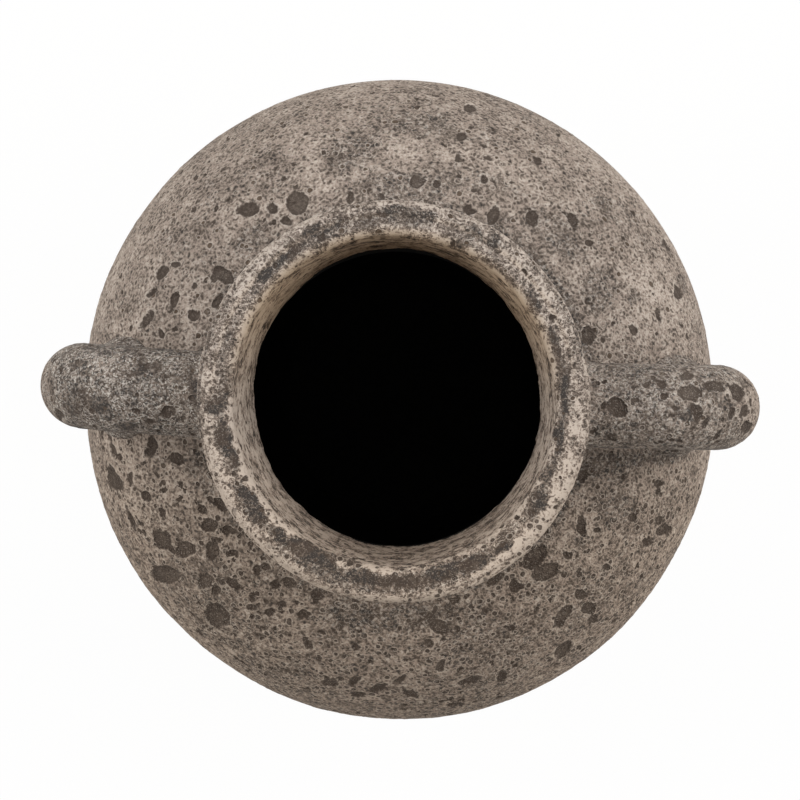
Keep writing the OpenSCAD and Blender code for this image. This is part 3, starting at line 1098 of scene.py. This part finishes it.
class Clay(Painter):
    """Clay painted in layers, by its own grain and by the finish that the skin carries."""

    def __init__(self, name):
        super().__init__(name)
        # The soot attribute holds charcoal together with painted shade and painted light
        self.pit, self.soot, self.throat, self.worms = (
            self.attribute(key) for key in ("pit", "soot", "throat", "worms"))
        self.front = self.step(self.along("Y"), *PAINT_NEAR)
        moves = self.noise("bends", output="Color")
        self.bent = self.math(
            "MULTIPLY_ADD", moves, (2 * BEND_REACH,) * 3, self.place, kind="ShaderNodeVectorMath")
        self.grain = self.noise("grain", self.bent)
        self.clumps = self.noise("clumps")
        self.specks = self.noise("specks")
        self.stains = self.where(stains=self.noise("stains"))
        self.ragged = self.total(
            (self.pit, 1.0), (self.noise("rags"), RAG_REACH), (1.0, -RAG_REACH * MIDDLE))
        self.bare = self.where(bare=self.ragged)
        self.relief = {"bare": self.bare, "specks": self.specks}

    def level(self):
        """How pale the slip is: well below 0 for charcoal, above it for cream."""
        mottle = self.product(self.front, self.swing(self.noise("mottle"), "mottle"))
        streaks = self.product(self.throat, self.swing(self.clumps, "streaks"))
        clean = self.swing(self.where(clean_crest=self.soot), "crest")
        crest = self.product(self.step(self.along("Z"), *CREST_Z), clean)
        speckles = self.weighed(CREST_SPECKLES, specks=self.specks, grain=self.grain)
        return self.weighed(
            LEVELS, grain=self.grain, veins=self.off_middle(self.noise("veins", self.bent)),
            clumps=self.clumps, mottle=mottle, soot=self.soot, streaks=streaks,
            speckles=self.product(crest, speckles))

    def slip(self):
        """Beige and cream slip over ash and charcoal."""
        level = self.level()
        self.relief["slip"] = self.where(slip=level)
        painted = self.mix(CHARCOAL, UMBER, self.stains)
        painted = self.mix(painted, ASH, self.where(ash=level))
        painted = self.mix(painted, BEIGE, self.where(beige=level))
        return self.mix(painted, CREAM, self.where(cream=level))

    def craters(self, form, share):
        """Distance from the edge of the nearest of many craters, and that crater's random number."""
        size, radius, growth = form
        near, wide, chance = self.cells(size, self.bent)
        absent = self.where(no_crater=self.total((chance, 1.0), (share, -1.0)))
        return self.total((near, 1.0), (wide, -growth), (absent, NO_CRATER), (1.0, -radius)), chance

    def blistered(self, painted):
        """Blisters with pale rings, burst ones with dark floors, and pores."""
        blister, chance = self.craters(BLISTERS, self.swing(self.front, "blisters"))
        ring = self.where(ring_outside=blister, ring_inside=blister, ring_off_soot=self.soot)
        hole = self.where(hole=blister, burst=self.total((chance, 1.0), (self.front, BURST_NEAR)))
        pore = self.where(hole=self.craters(PORES, PORE_SHARE)[0])
        self.relief.update(ring=ring, hole=hole, pore=pore)
        painted = self.laid(painted, CREAM, ring, "ring")
        painted = self.laid(painted, self.mix(RUST, UMBER, self.front), hole, "hole")
        return self.laid(painted, UMBER, pore, "pore")

    def pitted(self, painted):
        """Pale broken lips round the pits, partly a painted highlight, and bare dark clay in them, darkest
        at their edges as painted shade.
        """
        # Painted highlight, in part: the lips are painted pale as well as raised
        lip = self.where(lip_outside=self.ragged, lip_inside=self.ragged, lip_clumps=self.clumps)
        self.relief["lip"] = lip
        speckle = self.where(bed=self.total((self.specks, 0.5), (self.grain, 0.5)))
        # Painted shade: less ash towards the pits' edges, so their beds are darker there
        deep = self.swing(self.where(deep=self.ragged), "deep")
        ashy = self.weighed(BED_ASH, speckle=self.product(speckle, deep), stains=self.stains)
        return self.mix(self.laid(painted, CREAM, lip, "lip"), self.mix(UMBER, ASH, ashy), self.bare)

    def tracks(self):
        """Pale worm tracks, broken by gaps."""
        off_track = self.off_middle(self.noise("tracks", self.bent))
        broken = self.where(tracks=off_track, gaps=self.noise("gaps"), track_clumps=self.clumps)
        return self.product(broken, self.worms)

    def flecked(self, painted):
        """Pale flecks, granules and worm tracks on the soot, and salt on the near side."""
        clumped = self.total((self.soot, 1.0), (self.clumps, CLUMPED_SOOT), (1.0, -CLUMPED_SOOT * MIDDLE))
        open_clay = self.where(off_soot=self.soot, off_pits=self.ragged)
        flecks = self.weighed(
            FLECKS, specks=self.where(specks=self.specks), tracks=self.product(self.tracks(), open_clay),
            granules=self.product(self.where(granules=self.grain), open_clay))
        painted = self.mix(painted, FLECK, self.product(flecks, self.where(sooty=clumped)))
        salt = self.product(self.where(salt=self.specks, salt_off_soot=self.soot), self.front)
        return self.laid(painted, FLECK, salt, "salt")

    def tinted(self, painted):
        """Painted shade: warm and golden on the far side of the throat, and warmer on the near side of the
        jar.
        """
        far_throat_shade = self.product(self.throat, self.step(self.along("Y"), *THROAT_FAR))
        painted = self.mix(painted, THROAT_SHADE_TINT, far_throat_shade, "MULTIPLY")
        return self.mix(painted, NEAR_SHADE_TINT, self.front, "MULTIPLY")


def clay_material():
    """Beige slip in grains and veins over ash and charcoal, with blisters, and pits down to dark clay."""
    clay = Clay("weathered_terracotta")
    painted = clay.pitted(clay.blistered(clay.slip()))
    painted = clay.tinted(clay.flecked(painted))
    roughness = clay.weighed(ROUGHNESS, bare=clay.bare, specks=clay.specks)
    return clay.finish(painted, roughness, clay.weighed(RELIEF, **clay.relief))


def lining_material():
    """Matt black coat, brushed on, whose near-black also stands for the deep shade inside the jar as painted
    shade.
    """
    paint = Painter("black_coat_and_shade")
    brushed = paint.noise("brush", paint.stretched(paint.place, BRUSH_STRETCH))
    base = paint.mix(BLACK, BRUSHED_BLACK, paint.where(brushed=brushed))
    return paint.finish(base, paint.swing(brushed, "coat"), paint.product(brushed, BRUSH_RELIEF))


# Stage

def floor_material():
    """White that glows where it is looked at, so that only a trace of the shadow is left."""
    paint = Painter("white_floor")
    paint.feed(paint.shader.inputs["Base Color"], FLOOR_COLOUR)
    paint.feed(paint.shader.inputs["Roughness"], FLOOR_ROUGHNESS)
    share = paint.product(paint.seen_directly(), FLOOR_GLOW)
    paint.send("Material Output", share, paint.shader, paint.node("ShaderNodeEmission", {}))
    return paint.material


def make_floor():
    """Wide disc that the vase stands on."""
    angles = np.arange(FLOOR_SIDES) * math.tau / FLOOR_SIDES
    edge = FLOOR_R * np.stack([np.cos(angles), np.sin(angles), np.zeros(FLOOR_SIDES)], axis=1)
    mesh = bpy.data.meshes.new("floor")
    mesh.from_pydata(edge, [], [tuple(range(FLOOR_SIDES))])
    mesh.materials.append(floor_material())
    floor = add_object("floor", mesh)


def make_world():
    """Even fill light, white where the camera sees it."""
    world = bpy.data.worlds.new("studio")
    world.use_nodes = True
    nodes = Nodes(world.node_tree)
    fill = world.node_tree.nodes["Background"]
    nodes.feed(fill.inputs["Color"], WHITE)
    nodes.feed(fill.inputs["Strength"], FILL_LEVEL)
    white = nodes.node("ShaderNodeBackground", {"Color": WHITE})
    nodes.send("World Output", nodes.seen_directly(), fill, white)
    bpy.context.scene.world = world


def make_lamp(name, spot, size, level):
    """Round soft lamp aimed at the vase, as bright on a white face turned to it as the level says."""
    spot = Vector(spot)
    middle = Vector((0, 0, BELLY_Z * MM))
    lamp = bpy.data.lights.new(name, "AREA")
    lamp.shape = "DISK"
    lamp.size = size
    lamp.energy = level * math.pi ** 2 * (spot - middle).length_squared
    holder = add_object(name, lamp)
    holder.location = spot
    holder.rotation_euler = (spot - middle).to_track_quat("Z", "Y").to_euler()


def make_camera():
    """The photograph's camera, almost straight above the vase."""
    right, up, forward = (Vector(axis) for axis in camera_axes())
    data = bpy.data.cameras.new("photo_camera")
    data.sensor_width = SENSOR_MM
    data.lens = FOCAL_PX / PHOTO_PX * SENSOR_MM
    camera = add_object("photo_camera", data)
    turn = Matrix((right, up, -forward)).transposed().to_4x4()
    camera.matrix_world = Matrix.Translation(Vector(CAMERA_SPOT) * MM) @ turn
    bpy.context.scene.camera = camera


def dress(piece, node, material):
    """A piece takes the place of its node on the one body."""
    piece.data.materials.append(material)
    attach(piece, "root")
    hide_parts(node)


ROUND_PIECES = {
    "base_slab": make_base_slab, "lower_body": make_lower_body, "upper_body": make_upper_body,
    "neck": make_neck, "rim": make_rim,
}
HANDLES = {"left_handle": -1, "right_handle": 1}

bpy.context.scene.view_settings.view_transform = "Standard"
make_camera()
make_world()
for lamp in LAMPS:
    make_lamp(*lamp)
make_floor()

skin = Skin()
clay = clay_material()
for node, make in ROUND_PIECES.items():
    dress(make(skin), node, clay)
for node, side in HANDLES.items():
    dress(make_handle(node + "_clay", side), node, clay)
dress(make_lining(), "inner_lining", lining_material())

bpy.context.view_layer.update()
